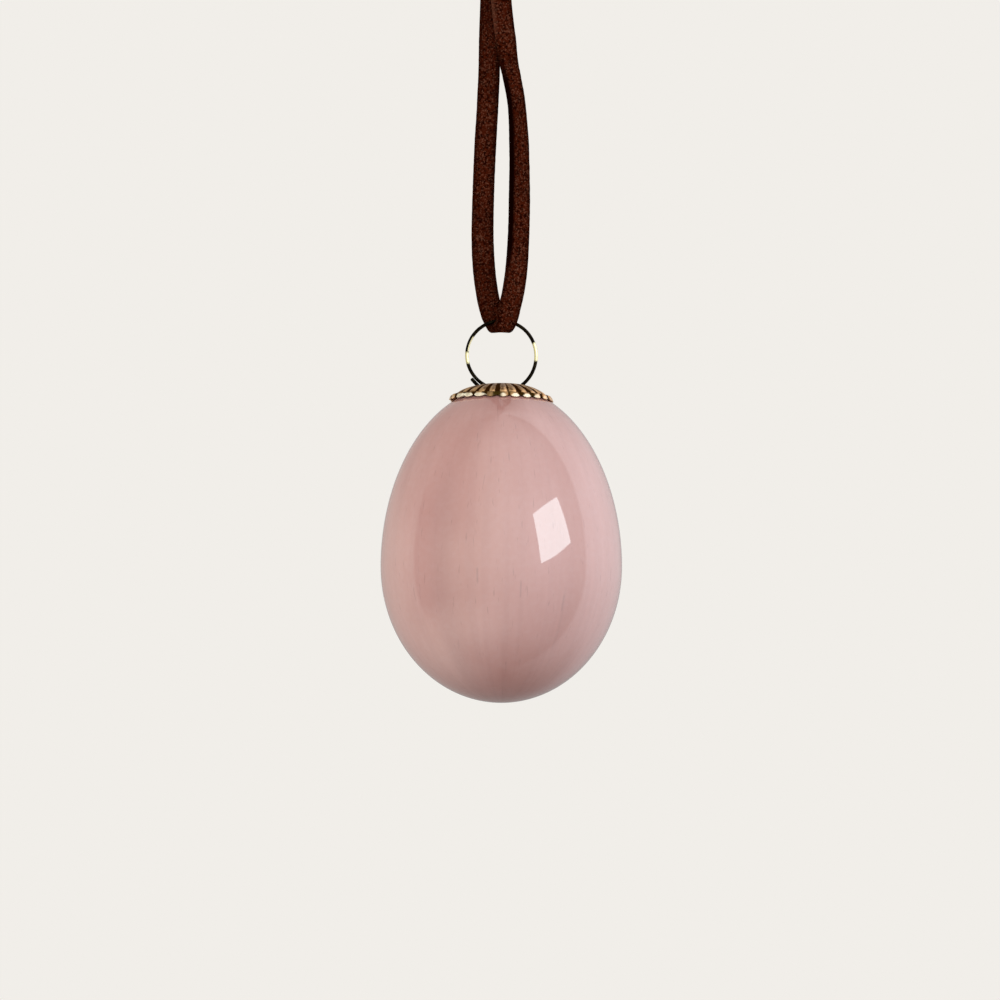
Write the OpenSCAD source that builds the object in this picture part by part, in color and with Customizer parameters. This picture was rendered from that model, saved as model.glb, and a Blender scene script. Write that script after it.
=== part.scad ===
// Easter egg ornament: a lacquered glass egg with a fluted brass cap, hung by
// a wire ring from a loop of suede lace.
// Millimetres, +Z up, +X to the right, +Y away from the front. The origin is
// the hanging point, just under the knot and between the two strands.

/* [Egg] */
// Outside diameter of the egg at its widest line
egg_d = 45; // [40:0.5:52]
// Height of the narrow upper half, from the widest line to the tip
egg_top_h = 33.8; // [30:0.2:40]
// Height of the blunt lower half, from the widest line to the bottom
egg_bottom_h = 25.4; // [20:0.2:34]
// Thickness of the blown glass
glass_wall = 1.2; // [0.8:0.1:2]
// Thickness of the coloured lacquer on the glass
lacquer_t = 0.1; // [0.06:0.02:0.2]

/* [Cap] */
// Diameter of the flat middle of the crown
crown_d = 7.6; // [6.8:0.1:8.4]
// Width of the curved shoulder's ellipse, out from the flat middle
shoulder_w = 6.3; // [5.8:0.1:7]
// Height of the shoulder's ellipse, as a share of the egg's fall from its tip to
// the ellipse's edge, so that the cap follows the egg that it sits on
shoulder_fall_share = 1.39; // [1.28:0.01:1.55]
// Thickness of the stamped brass sheet
cap_sheet = 0.25; // [0.2:0.01:0.3]
// Number of flutes round the cap
flutes = 22; // [16:1:30]
// Depth of the grooves between the flutes
flute_depth = 0.45; // [0.2:0.05:0.5]
// Height of the crown above the tip that the egg's outline would reach
cap_lift = 0.2; // [0.15:0.05:0.4]
// Width of the bridge between the two slots of the crown
bridge_w = 2.4; // [2:0.1:2.8]
// Angle that the egg can swing each way on the ring before its slots stop it
egg_tilt = 40; // [20:1:45]
// Clearance left in the film of cement on both of its sides
cement_gap = 0.03; // [0.02:0.01:0.05]

/* [Ring] */
// Inside diameter of the ring's full turn
ring_inner_d = 12.24; // [11.8:0.02:13.2]
// Diameter of the ring's wire
wire_d = 0.66; // [0.5:0.02:0.7]
// Direction from the top at which the wire starts to leave the full turn
lap_start = 60; // [50:1:70]
// Turn of the lapped end, from there to its tip
lap_turn = 169; // [160:1:175]
// Clearance between the lapped end and the full turn at the bottom
lap_gap = 0.02; // [0.01:0.01:0.05]

/* [Lace] */
// Width of the flat lace
lace_w = 4; // [3:0.1:4.4]
// Thickness of the lace
lace_t = 1.5; // [1:0.1:1.6]
// Size of the worn corners of the lace
lace_edge = 0.35; // [0.2:0.05:0.45]
// Diameter of the knot
knot_d = 8.4; // [8:0.2:10]
// Height of the knot
knot_h = 7.5; // [6:0.5:9]
// Radius of the knot's rounded edges
knot_round = 2.6; // [1:0.2:2.8]
// Length of the two loose ends above the knot
tail_l = 13; // [8:1:20]
// Angle at which the loose ends lean apart
tail_lean = 22; // [10:1:30]

/* [Hidden] */
$fn = 96;

// Colours as the photograph shows them
lacquer_colour = [0.79, 0.63, 0.60];
glass_colour = [0.86, 0.90, 0.90];
brass_colour = [0.55, 0.43, 0.28];
wire_colour = [0.42, 0.36, 0.18];
cement_colour = [0.88, 0.85, 0.78];
suede_colour = [0.22, 0.09, 0.06];

// The lace's route: down the back strand on the left, forward through the ring
// under its wire, and up the front strand on the right.
lace_route = [
    [-1.7, 0.8, 0], [-2, 0.8, -7], [-2.2, 0.8, -14], [-2.3, 0.9, -20], [-2.6, 1, -27],
    [-3, 1, -34], [-3.3, 1.1, -41], [-3.5, 1.2, -48], [-3.5, 1.3, -53], [-3.2, 1.4, -58],
    [-2.6, 1.5, -62.5], [-1.9, 1.5, -65.5], [-1.2, 1.4, -67.6], [-0.9, 1.2, -68.3],
    [-0.5, 0.7, -68.8], [0, 0, -69], [0.4, -0.7, -68.8], [0.8, -1.2, -68.3],
    [1.1, -1.4, -67.6], [1.5, -1.5, -65.5], [2.1, -1.5, -63], [2.6, -1.4, -60],
    [3, -1.3, -56], [3.3, -1.2, -50], [3.4, -1.1, -44], [3.4, -1, -37], [3.2, -0.9, -31],
    [2.8, -0.9, -26], [2.1, -0.8, -22], [1.3, -0.8, -18], [0.8, -0.8, -14], [0.1, -0.8, -8],
    [-0.5, -0.8, 0]
];
// Height of the ring's wire where it lies in the fold of the lace
fold_z = -67.6;
// Middle of the knot, across the two strands
knot_x = -1.1;

// The ring's full turn, and the arc that carries the wire out to its lapped end
wire_r = wire_d / 2;
ring_r = (ring_inner_d + wire_d) / 2;
ring_z = fold_z - ring_r;
lap_shift = (wire_d + lap_gap) / (1 + cos(lap_start));
// Polar angle straight down, and the angle that the full turn stops short of it
straight_down = 270;
full_turn_short = 2;
// Radius of the small bead that joins the two arcs, as a share of the wire's
bead = 1.03;

// The bridge of the crown rests on the ring's wire
bridge_gap = 0.04;
bridge_half = bridge_w / 2;
axis_z = ring_z - sqrt(pow(ring_r, 2) - pow(bridge_half, 2));
crown_z = ring_z - sqrt(pow(ring_r - wire_r, 2) - pow(bridge_half, 2)) + bridge_gap + cap_sheet;

// The slots leave room for the wire over the whole swing
slot_side_gap = 0.06;
slot_end_gap = 0.75;
slot_half = (crown_z - axis_z) * tan(egg_tilt) + wire_r / cos(egg_tilt) + slot_side_gap;
slot_end = sqrt(pow(ring_r + 2 * lap_shift, 2) - pow(ring_z - crown_z, 2)) + wire_r
           + slot_end_gap;
overrun = 1;

// Heights of the egg below the crown
egg_r = egg_d / 2;
tip_z = crown_z - cap_lift;
wide_z = tip_z - egg_top_h;
mouth_r = slot_end;

// Shape of the cap's shoulder, and the rows and columns that its sheet is drawn with
crown_r = crown_d / 2;
shoulder_h = shoulder_fall_share * (tip_z - egg_top_z(crown_r + shoulder_w));
seat_gap = 0.02;
cap_rows = 6;
flute_columns = 6;
columns = flutes * flute_columns;
steepest = 88;
halvings = 24;

// Steps along each half of the egg's outline and along the cement's upper side
outline_steps = 28;
cement_steps = 8;
// How far the cement reaches under the shoulder, as a share of the way to the rim
cement_reach_share = 0.86;

// Steps round the knot's edges, and the roots of the loose ends inside the knot
knot_steps = 8;
tail_root = 3;
tail_side = 0.8;

// Height of the egg's outer surface at radius r, above its widest line
function egg_top_z(r) = wide_z + egg_top_h * sqrt(max(0, 1 - pow(r / egg_r, 2)));

// Points of the egg's outline at a depth, from the mouth down to the bottom
function egg_outline(inset) =
    let (top = acos(mouth_r / (egg_r - inset)))
    concat(
        [for (k = [0:outline_steps - 1])
            let (a = top * (1 - k / outline_steps))
            [(egg_r - inset) * cos(a), wide_z + (egg_top_h - inset) * sin(a)]],
        [for (k = [0:outline_steps])
            let (a = 90 * k / outline_steps)
            [(egg_r - inset) * cos(a), wide_z - (egg_bottom_h - inset) * sin(a)]]
    );

// A shell of the egg between two depths, open at the mouth
module egg_skin(outer_inset, inner_inset) {
    inside = egg_outline(inner_inset);
    rotate_extrude()
        polygon(concat(egg_outline(outer_inset),
            [for (k = [len(inside) - 1:-1:0]) inside[k]]));
}

module glass_shell() {
    color(glass_colour) egg_skin(lacquer_t, lacquer_t + glass_wall);
}

module rose_lacquer() {
    color(lacquer_colour) egg_skin(0, lacquer_t);
}

// A point of the shoulder, as [radius, height], at slope angle t and a depth below it
function shoulder(t, inset) =
    let (outward = [shoulder_h * sin(t), shoulder_w * cos(t)])
    [crown_r + shoulder_w * sin(t), crown_z - shoulder_h * (1 - cos(t))]
        - inset * outward / norm(outward);

// Depth of the flutes at a column: rounded ridges between sharp grooves
function flute_inset(column) = flute_depth * (1 - abs(cos(180 * column / flute_columns)));

// Slope angle at which the sheet's underside comes down to the glass
function rim_angle(inset, low = 0, high = steepest, turns = halvings) =
    turns == 0 ? low :
    let (mid = (low + high) / 2, p = shoulder(mid, inset * sin(mid) + cap_sheet))
    p[1] > egg_top_z(p[0]) + seat_gap ? rim_angle(inset, mid, high, turns - 1)
                                      : rim_angle(inset, low, mid, turns - 1);

// One side of the cap's sheet, row by row from the flat middle to the rim
function sheet_side(rims, depth) = [
    for (row = [0:cap_rows]) for (column = [0:columns - 1])
        let (t = rims[column % flute_columns] * row / cap_rows,
             p = shoulder(t, flute_inset(column) * sin(t) + depth),
             a = 360 * column / columns)
        [p[0] * cos(a), p[0] * sin(a), p[1]]
];

// The two triangles between four neighbouring points
function two_faces(a, b, c, d) = [[a, b, c], [a, c, d]];

module fluted_sheet() {
    rims = [for (column = [0:flute_columns - 1]) rim_angle(flute_inset(column))];
    side = (cap_rows + 1) * columns;
    last = cap_rows * columns;
    polyhedron(
        points = concat(sheet_side(rims, 0), sheet_side(rims, cap_sheet)),
        faces = concat(
            [[for (c = [columns - 1:-1:0]) c], [for (c = [0:columns - 1]) side + c]],
            [for (row = [0:cap_rows - 1]) for (c = [0:columns - 1])
                let (n = (c + 1) % columns, i = row * columns, j = i + columns)
                each concat(two_faces(i + c, i + n, j + n, j + c),
                    two_faces(side + i + c, side + j + c, side + j + n, side + i + n))],
            [for (c = [0:columns - 1]) let (n = (c + 1) % columns)
                each two_faces(last + c, last + n, side + last + n, side + last + c)]
        )
    );
}

// A ridge between two grooves faces the front
module crown_cap() {
    color(brass_colour) difference() {
        rotate([0, 0, -90]) fluted_sheet();
        for (side = [0, 1]) mirror([side, 0, 0])
            translate([bridge_half, -slot_half, crown_z - overrun])
                cube([slot_end - bridge_half, 2 * slot_half, 2 * overrun]);
    }
}

// Plaster that beds the cap on the glass, round the mouth
module cap_cement() {
    inner_t = asin((mouth_r + cement_gap - crown_r) / shoulder_w);
    outer_t = rim_angle(flute_depth) * cement_reach_share;
    upper = [for (k = [0:cement_steps])
        let (t = inner_t + (outer_t - inner_t) * k / cement_steps)
        shoulder(t, flute_depth * sin(t) + cap_sheet + cement_gap)];
    lower = [for (k = [cement_steps:-1:0]) [upper[k][0], egg_top_z(upper[k][0]) + cement_gap]];
    color(cement_colour) rotate_extrude() polygon(concat(upper, lower));
}

// An arc of the ring's wire that starts at a polar angle in the XZ plane
module wire_arc(radius, start, turn) {
    rotate([90, 0, 0]) rotate([0, 0, start])
        rotate_extrude(angle = turn) translate([radius, 0]) circle(r = wire_r);
}

module hanging_ring() {
    lap_a = 90 - lap_start;
    color(wire_colour) translate([0, 0, ring_z]) {
        wire_arc(ring_r, lap_a, straight_down - full_turn_short - lap_a);
        translate([-lap_shift * cos(lap_a), 0, -lap_shift * sin(lap_a)])
            wire_arc(ring_r + lap_shift, lap_a - lap_turn, lap_turn);
        rotate([0, -lap_a, 0]) translate([ring_r, 0, 0]) sphere(r = wire_r * bead);
    }
}

// Outline of the lace across its width and thickness
function lace_section() =
    let (w = lace_w / 2, t = lace_t / 2, e = lace_edge)
    [[w, t - e], [w - e, t], [e - w, t], [-w, t - e], [-w, e - t], [e - w, -t], [w - e, -t], [w, e - t]];

// Direction of the route at a point; its two ends meet the knot squarely
function along(k) =
    k == 0 ? [0, 0, -1] : k == len(lace_route) - 1 ? [0, 0, 1] :
    let (d = lace_route[k + 1] - lace_route[k - 1]) d / norm(d);

// The section at a point of the route, with its width kept along X
function lace_ring(k) =
    let (t = along(k), w = [1, 0, 0] - t[0] * t, wide = w / norm(w), thick = cross(t, wide))
    [for (p = lace_section()) lace_route[k] + p[0] * wide + p[1] * thick];

module suede_lace() {
    sides = len(lace_section());
    last = (len(lace_route) - 1) * sides;
    color(suede_colour) polyhedron(
        points = [for (k = [0:len(lace_route) - 1]) each lace_ring(k)],
        faces = concat(
            [[for (c = [0:sides - 1]) c], [for (c = [sides - 1:-1:0]) last + c]],
            [for (i = [0:sides:last - sides]) for (c = [0:sides - 1])
                let (n = (c + 1) % sides)
                each two_faces(i + n, i + c, i + sides + c, i + sides + n)]
        )
    );
}

// Half outline of a barrel with rounded edges, from its bottom to its top
function barrel(r, h, edge) =
    let (turn = [for (k = [0:knot_steps]) 90 * k / knot_steps])
    concat(
        [[0, 0]], [for (a = turn) [r - edge * (1 - sin(a)), edge * (1 - cos(a))]],
        [for (a = turn) [r - edge * (1 - cos(a)), h - edge * (1 - sin(a))]], [[0, h]]
    );

module lace_knot() {
    color(suede_colour) translate([knot_x, 0, 0]) {
        rotate_extrude() polygon(barrel(knot_d / 2, knot_h, knot_round));
        for (side = [-1, 1])
            translate([side * tail_side, -side * tail_side, knot_h - tail_root])
                rotate([0, side * tail_lean, 0])
                    translate([-lace_w / 2, -lace_t / 2, 0])
                        cube([lace_w, lace_t, tail_l + tail_root]);
    }
}

glass_shell();
rose_lacquer();
crown_cap();
cap_cement();
hanging_ring();
suede_lace();
lace_knot();
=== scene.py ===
import math

import bmesh
import bpy
from mathutils import Matrix, Vector, noise


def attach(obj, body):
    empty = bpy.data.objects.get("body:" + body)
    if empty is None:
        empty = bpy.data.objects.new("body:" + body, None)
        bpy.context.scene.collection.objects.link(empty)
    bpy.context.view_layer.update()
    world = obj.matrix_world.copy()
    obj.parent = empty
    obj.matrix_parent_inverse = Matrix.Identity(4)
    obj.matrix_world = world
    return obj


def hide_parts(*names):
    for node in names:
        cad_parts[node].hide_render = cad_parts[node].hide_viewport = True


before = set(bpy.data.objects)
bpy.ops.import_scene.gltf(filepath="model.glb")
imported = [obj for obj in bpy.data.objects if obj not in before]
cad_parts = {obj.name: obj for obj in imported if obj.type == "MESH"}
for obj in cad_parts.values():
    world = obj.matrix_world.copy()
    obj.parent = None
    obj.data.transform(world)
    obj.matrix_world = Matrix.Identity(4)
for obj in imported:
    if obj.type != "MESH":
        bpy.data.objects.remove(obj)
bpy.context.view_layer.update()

# Shapes are drawn in millimetres, and new_piece turns them into metres
MM = 0.001

# The part's measures in millimetres and degrees, as part.scad has them
EGG_D, EGG_TOP_H, EGG_BOTTOM_H = 45, 33.8, 25.4
CROWN_R, SHOULDER_W, SHOULDER_H = 3.8, 6.3, 5.0
CAP_SHEET, FLUTES, FLUTE_DEPTH = 0.25, 22, 0.45
CAP_LIFT, SEAT_GAP = 0.2, 0.02
BRIDGE_HALF, BRIDGE_GAP, EGG_TILT = 1.2, 0.04, 40
SLOT_SIDE_GAP, SLOT_END_GAP = 0.06, 0.75
WIRE_R, RING_R, FOLD_Z = 0.33, 6.45, -67.6
LAP_START, LAP_TURN, LAP_GAP, FULL_TURN_SHORT = 60, 169, 0.02, 2
LACE_W, LACE_T, LACE_EDGE = 4.0, 1.5, 0.35

RING_Z = FOLD_Z - RING_R
LAP_SHIFT = (2 * WIRE_R + LAP_GAP) / (1 + math.cos(math.radians(LAP_START)))
AXIS_Z = RING_Z - math.sqrt(RING_R ** 2 - BRIDGE_HALF ** 2)
CROWN_Z = RING_Z - math.sqrt((RING_R - WIRE_R) ** 2 - BRIDGE_HALF ** 2) + BRIDGE_GAP + CAP_SHEET
TIP_Z = CROWN_Z - CAP_LIFT
WIDE_Z = TIP_Z - EGG_TOP_H
SLOT_HALF = ((CROWN_Z - AXIS_Z) * math.tan(math.radians(EGG_TILT))
             + WIRE_R / math.cos(math.radians(EGG_TILT)) + SLOT_SIDE_GAP)
SLOT_END = (math.sqrt((RING_R + 2 * LAP_SHIFT) ** 2 - (RING_Z - CROWN_Z) ** 2)
            + WIRE_R + SLOT_END_GAP)
EGG_R = EGG_D / 2
MOUTH_R = SLOT_END

# The lace's route: down the back strand on the left, forward through the ring
# under its wire, and up the front strand on the right
LACE_ROUTE = [
    (-1.7, 0.8, 0), (-2, 0.8, -7), (-2.2, 0.8, -14), (-2.3, 0.9, -20), (-2.6, 1, -27),
    (-3, 1, -34), (-3.3, 1.1, -41), (-3.5, 1.2, -48), (-3.5, 1.3, -53), (-3.2, 1.4, -58),
    (-2.6, 1.5, -62.5), (-1.9, 1.5, -65.5), (-1.2, 1.4, -67.6), (-0.9, 1.2, -68.3),
    (-0.5, 0.7, -68.8), (0, 0, -69), (0.4, -0.7, -68.8), (0.8, -1.2, -68.3),
    (1.1, -1.4, -67.6), (1.5, -1.5, -65.5), (2.1, -1.5, -63), (2.6, -1.4, -60),
    (3, -1.3, -56), (3.3, -1.2, -50), (3.4, -1.1, -44), (3.4, -1, -37), (3.2, -0.9, -31),
    (2.8, -0.9, -26), (2.1, -0.8, -22), (1.3, -0.8, -18), (0.8, -0.8, -14), (0.1, -0.8, -8),
    (-0.5, -0.8, 0),
]

# Camera, in metres and degrees: what it looks at, from how far and from how far up, and the
# width of its view there
VIEW_TARGET = Vector((-0.000243, 0, -0.10132))
VIEW_DISTANCE, VIEW_RISE, VIEW_WIDTH = 0.7, -5, 0.18672
# Width of the camera's sensor, in millimetres
SENSOR = 36


def direction(azimuth, rise):
    """A unit vector, by degrees from straight towards the camera round to +X, and upward."""
    a, e = math.radians(azimuth), math.radians(rise)
    return Vector((math.sin(a) * math.cos(e), -math.cos(a) * math.cos(e), math.sin(e)))


def aim_at(obj, target, azimuth, rise, distance):
    """Adds a camera or lamp to the scene at a distance from its target, and turns it there."""
    bpy.context.scene.collection.objects.link(obj)
    obj.location = target + distance * direction(azimuth, rise)
    obj.rotation_euler = (target - obj.location).to_track_quat("-Z", "Y").to_euler()


def add_camera():
    camera = bpy.data.objects.new("camera", bpy.data.cameras.new("camera"))
    camera.data.sensor_width = SENSOR
    camera.data.lens = SENSOR * VIEW_DISTANCE / VIEW_WIDTH
    camera.data.clip_start, camera.data.clip_end = 0.01, 20
    aim_at(camera, VIEW_TARGET, 0, VIEW_RISE, VIEW_DISTANCE)
    bpy.context.scene.camera = camera


add_camera()


# Helpers for meshes
def new_piece(name, verts, faces, smooth=True):
    """A mesh object in the scene, from points in millimetres."""
    mesh = bpy.data.meshes.new(name)
    mesh.from_pydata([Vector(v) * MM for v in verts], [], faces)
    mesh.validate()
    obj = bpy.data.objects.new(name, mesh)
    bpy.context.scene.collection.objects.link(obj)
    for face in mesh.polygons:
        face.use_smooth = smooth
    return obj


def outward(obj):
    """Turns every face of a closed mesh outward."""
    bm = bmesh.new()
    bm.from_mesh(obj.data)
    bmesh.ops.recalc_face_normals(bm, faces=bm.faces)
    bm.to_mesh(obj.data)
    bm.free()


def band(a, b, count):
    """Faces between two closed rings of points that start at a and b."""
    return [(a + c, b + c, b + (c + 1) % count, a + (c + 1) % count) for c in range(count)]


def fan(centre, a, count):
    """Faces between a point and the closed ring of points that starts at a."""
    return [(centre, a + c, a + (c + 1) % count) for c in range(count)]


def tube_faces(rings, sides):
    """Faces of a tube whose rings of points follow each other, closed at both ends."""
    last = (rings - 1) * sides
    faces = []
    for start in range(0, last, sides):
        faces += band(start, start + sides, sides)
    return faces + [tuple(range(sides - 1, -1, -1)), tuple(range(last, last + sides))]


def smoothstep(x, low, high):
    """0 below low and 1 above high, with a soft change between them."""
    t = min(1, max(0, (x - low) / (high - low)))
    return t * t * (3 - 2 * t)


def table(rows, x):
    """Smooth value at x from rows of (x, value), rising in x."""
    if x <= rows[0][0]:
        return rows[0][1]
    for (x0, v0), (x1, v1) in zip(rows, rows[1:]):
        if x <= x1:
            return v0 + (v1 - v0) * smoothstep(x, x0, x1)
    return rows[-1][1]


def catmull_rom(a, b, c, d, t):
    """A point of the curve from b to c, at the share t of the way."""
    return 0.5 * (2 * b + (c - a) * t + (2 * a - 5 * b + 4 * c - d) * t * t
                  + (3 * b - a - 3 * c + d) * t ** 3)


def spline(points, step, cuts=24):
    """A curve through the points in even steps, and its length."""
    pts = [Vector(p) for p in points]
    pts = [2 * pts[0] - pts[1]] + pts + [2 * pts[-1] - pts[-2]]
    fine = []
    for i in range(1, len(pts) - 2):
        fine += [catmull_rom(*pts[i - 1:i + 3], k / cuts) for k in range(cuts)]
    fine.append(pts[-2])
    lengths = [0.0]
    for a, b in zip(fine, fine[1:]):
        lengths.append(lengths[-1] + (b - a).length)
    count = round(lengths[-1] / step)
    even, j = [], 0
    for k in range(count + 1):
        want = lengths[-1] * k / count
        while j < len(fine) - 2 and lengths[j + 1] < want:
            j += 1
        share = (want - lengths[j]) / (lengths[j + 1] - lengths[j])
        even.append(fine[j].lerp(fine[j + 1], min(1, share)))
    return even, lengths[-1]


def tangents(path):
    """The direction of a path at each of its points."""
    last = len(path) - 1
    return [(path[min(k + 1, last)] - path[max(k - 1, 0)]).normalized() for k in range(last + 1)]


# Section of the lace: points on each worn corner, steps along each face, how far the faces
# bulge in millimetres, and the faces round the section that lie on the two cut edges
CORNER_POINTS, FACE_STEPS, FACE_BULGE = 4, 6, 0.05
CUT_EDGE_FACES = (0, 11, 12, 13, 24, 25)
# How much painted shade darkens the edges of the lace, and how bright the painted highlight is on the
# front strand's edge where it touches the other
EDGE_DARK, EDGE_HIGHLIGHT = 0.55, 0.3
# Steps over which a slanted cut leans
SLANT_STEPS = 6


def lace_section(width, thickness):
    """Points round a flat strip with worn corners and slightly crowned faces."""
    w, t = width / 2, thickness / 2
    points = []
    for sx, sy, start in ((1, 1, 0), (-1, 1, 90), (-1, -1, 180), (1, -1, 270)):
        for k in range(CORNER_POINTS):
            a = math.radians(start + 90 * k / (CORNER_POINTS - 1))
            points.append((sx * (w - LACE_EDGE) + LACE_EDGE * math.cos(a),
                           sy * (t - LACE_EDGE) + LACE_EDGE * math.sin(a)))
        if start in (0, 180):
            for k in range(1, FACE_STEPS):
                x = sx * (w - LACE_EDGE) * (1 - 2 * k / FACE_STEPS)
                points.append((x, sy * (t + FACE_BULGE * (1 - (x / w) ** 2))))
    return points


def edge_shade(k, across):
    """How much painted shade darkens the strip at a place across its width, from -1 to 1, at every step
    k alike.
    """
    return EDGE_DARK * smoothstep(abs(across), 0.5, 0.85)


def sweep_lace(name, path, widths, sizes, twist, nap, seed=0.0, slant=0.0, ends=None,
               shade=edge_shade):
    """A strip of the lace along a path in millimetres.

    widths has the direction of its width at each point, sizes its width and thickness there as
    shares of the lace's, and twist its turn in radians. nap is how rough its surface is, slant
    leans its last cut, and ends has the directions that its two cuts face. The piece's "rim"
    value is what shade gives at each point: painted shade above 0 and a painted highlight below it.
    """
    dirs = tangents(path)
    if ends:
        dirs[0], dirs[-1] = Vector(ends[0]), Vector(ends[1])
    verts, rims = [], []
    for k, (p, t) in enumerate(zip(path, dirs)):
        wide = (widths[k] - widths[k].dot(t) * t).normalized()
        deep = t.cross(wide)
        turn = Matrix.Rotation(twist[k], 3, t)
        wide, deep = turn @ wide, turn @ deep
        width, thickness = LACE_W * sizes[k][0], LACE_T * sizes[k][1]
        lean = slant * max(0, k - (len(path) - 1 - SLANT_STEPS)) / SLANT_STEPS
        for x, y in lace_section(width, thickness):
            v = p + x * wide + y * deep
            out = (x * wide * 0.3 + y * deep).normalized()
            rough = noise.noise(v * 2.1 + Vector((seed, 0, 0))) + 0.6 * noise.noise(v * 5.3)
            verts.append(v + out * rough * nap + t * (x * lean))
            rims.append(shade(k, 2 * x / width))
    sides = len(verts) // len(path)
    obj = new_piece(name, verts, tube_faces(len(path), sides))
    obj.data.attributes.new("rim", "FLOAT", "POINT").data.foreach_set("value", rims)
    # The cut edges take the second material, a darker brown that is partly the cut fibre and partly
    # painted shade, and all else the first
    for k, face in enumerate(obj.data.polygons):
        if k < (len(path) - 1) * sides and k % sides in CUT_EDGE_FACES:
            face.material_index = 1
    outward(obj)
    return obj


# The loop of lace, in millimetres and degrees: its steps, where its two ends lie inside the
# knot, the twist of each strand, and the roughness of its surface
LACE_STEP = 0.4
BACK_END, FRONT_END = (-1.5, 0.8, 2.6), (-0.7, -0.8, 2.6)
BACK_TWIST, FRONT_TWIST = 3, 25
LACE_NAP = 0.035
# Width of each strand by its depth below the knot, as a share of the lace's
BACK_WIDTHS = [(0, 1.0), (20, 1.01), (45, 1.02), (58, 1.05), (66, 1.05), (69, 0.9)]
FRONT_WIDTHS = [(0, 0.98), (14, 0.96), (21, 0.84), (27, 0.83), (36, 0.93), (46, 1.0),
                (58, 1.03), (66, 1.04), (69, 0.9)]


def build_lace():
    """The loop of lace, with its path and its length in millimetres."""
    path, length = spline([BACK_END] + LACE_ROUTE + [FRONT_END], LACE_STEP)
    steps = len(path)
    twist, sizes, dark_side_line, touch = [], [], [], []
    for k, p in enumerate(path):
        # Share of the front strand, and of the stretch that hangs free of the knot and the ring
        front = smoothstep(k / steps, 0.49, 0.53)
        free = smoothstep(-p.z, 10, 24) * (1 - smoothstep(-p.z, 54, 65))
        twist.append(free * math.radians(FRONT_TWIST * front + BACK_TWIST * (1 - front)))
        # A dark line along one side of the front strand where it hangs free, partly its dark cut side
        # and partly painted shade
        dark_side_line.append(front * free)
        # Which side of the strand touches the other one, above the place where they part
        touch.append((1 - 2 * front) * (1 - smoothstep(-p.z, 12, 20)))
        width = table(BACK_WIDTHS if k < steps / 2 else FRONT_WIDTHS, -p.z)
        sizes.append((width + 0.012 * noise.noise(Vector((k * 0.05, 3.1, 0))),
                      1 + 0.03 * noise.noise(Vector((0, k * 0.03, 9)))))

    def shade(k, across):
        """Painted shade at the edges and along one side of the front strand, where it is partly the
        dark cut side, none where the strands touch, and a painted highlight on the front one's edge
        there."""
        near = touch[k] * across
        dark = max(edge_shade(k, across) * (1 - smoothstep(near, 0.3, 0.6)),
                   dark_side_line[k] * smoothstep(-across, 0.66, 0.84))
        return dark - EDGE_HIGHLIGHT * max(0, -touch[k]) * smoothstep(near, 0.64, 0.86)

    strap = sweep_lace("suede_lace_strap", path, [Vector((1, 0, 0))] * steps, sizes, twist,
                       LACE_NAP, ends=((0, 0, -1), (0, 0, 1)), shade=shade)
    return strap, path, length


lace, lace_path, lace_length = build_lace()

# An overhand knot in both strands, with two loose ends. Each row is a point of the pair's route
# and the direction of the lace's width there: up the core, over the front, once round
# everything, and up again inside the turn.
KNOT_ROWS = [
    ((-1.1, 0, 0.6), (1, 0, 0)), ((-1.5, 0.1, 2.2), (1, 0, 0)), ((-2.0, 0, 4.0), (1, 0, -0.1)),
    ((-1.7, -0.9, 5.7), (0.8, 0, -0.7)), ((-0.1, -2.3, 6.0), (0.25, 0.2, -1)),
    ((1.9, -2.0, 5.2), (0, 0.3, -1)), ((2.9, -0.1, 4.5), (-0.1, 0, -1)),
    ((1.7, 2.1, 4.1), (0, 0, -1)), ((-0.9, 2.9, 3.7), (0.1, 0, -1)),
    ((-3.5, 2.1, 3.2), (0.15, 0, -1)), ((-4.7, 0, 2.8), (0.1, -0.1, -1)),
    ((-3.7, -2.2, 2.5), (0, 0.1, -1)), ((-1.1, -3.1, 2.3), (-0.15, 0, -1)),
    ((1.3, -2.3, 2.4), (-0.2, 0.1, -1)), ((2.3, -0.3, 2.9), (0, 0.5, -0.9)),
    ((1.3, 0.9, 4.1), (0.3, 1, -0.3)), ((0.1, 0.7, 5.6), (0.8, 0.5, 0)),
    ((-0.6, 0.2, 7.2), (1, 0.1, 0)), ((-0.8, 0, 8.6), (1, 0, 0)),
]
# Steps from row to row, and for each strand, in millimetres: how far it lies from the pair's
# route, what is added to that at the top, and how far it is moved sideways at the foot
KNOT_CUTS, STRAND_APART, STRAND_SPREAD, STRAND_ASIDE = 16, 0.74, 0.1, 0.55
# The loose ends: length and number of their steps, and the slant of their cut
TAIL_STEP, TAIL_STEPS, TAIL_SLANT = 0.3, 39, 0.42
KNOT_NAP = 0.05


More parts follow.
